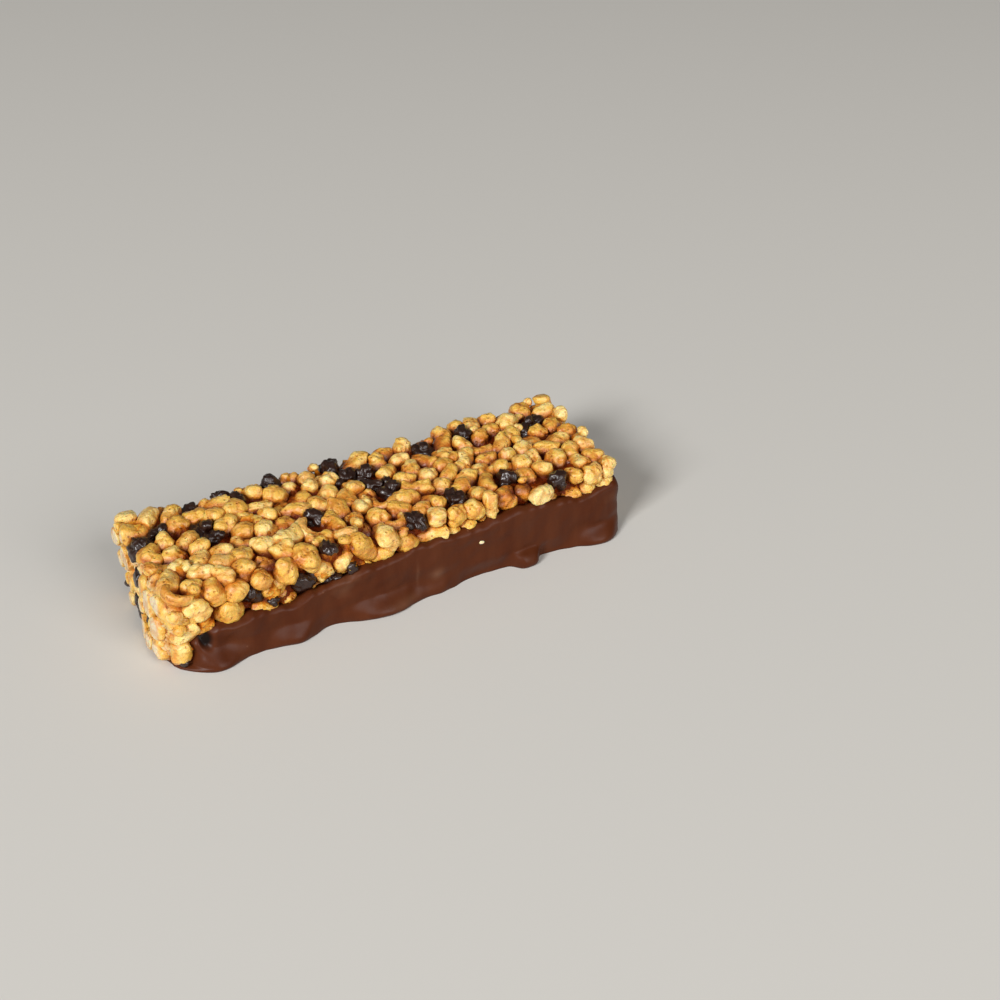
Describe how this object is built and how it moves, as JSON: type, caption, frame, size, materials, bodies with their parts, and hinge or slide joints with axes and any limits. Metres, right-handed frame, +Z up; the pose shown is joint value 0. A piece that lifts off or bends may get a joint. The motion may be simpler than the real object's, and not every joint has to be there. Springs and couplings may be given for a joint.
{
  "type": "cereal meal bar",
  "caption": "Oblong bar of pressed puffed cereal with dark chocolate chunks, its base and long sides dipped in milk chocolate, cut plain at both ends.",
  "frame": {"origin": "middle of the underside, on the surface that the bar lies on", "axes": "+X along the bar towards the end where the chocolate stands higher, +Y across it, +Z up out of the bare cereal top"},
  "size_m": [0.1145, 0.0452, 0.0206],
  "materials": {
    "cereal": "golden puffed grain with a thin syrup glaze, semi-gloss",
    "milk_chocolate": "set milk chocolate, satin",
    "dark_chocolate": "dark chocolate chunks, wrinkled and semi-gloss",
    "syrup": "set amber syrup between the puffs, glossy"
  },
  "bodies": {
    "root": {"cereal_slab": "cereal", "chocolate_coat": "milk_chocolate"}
  },
  "joints": []
}
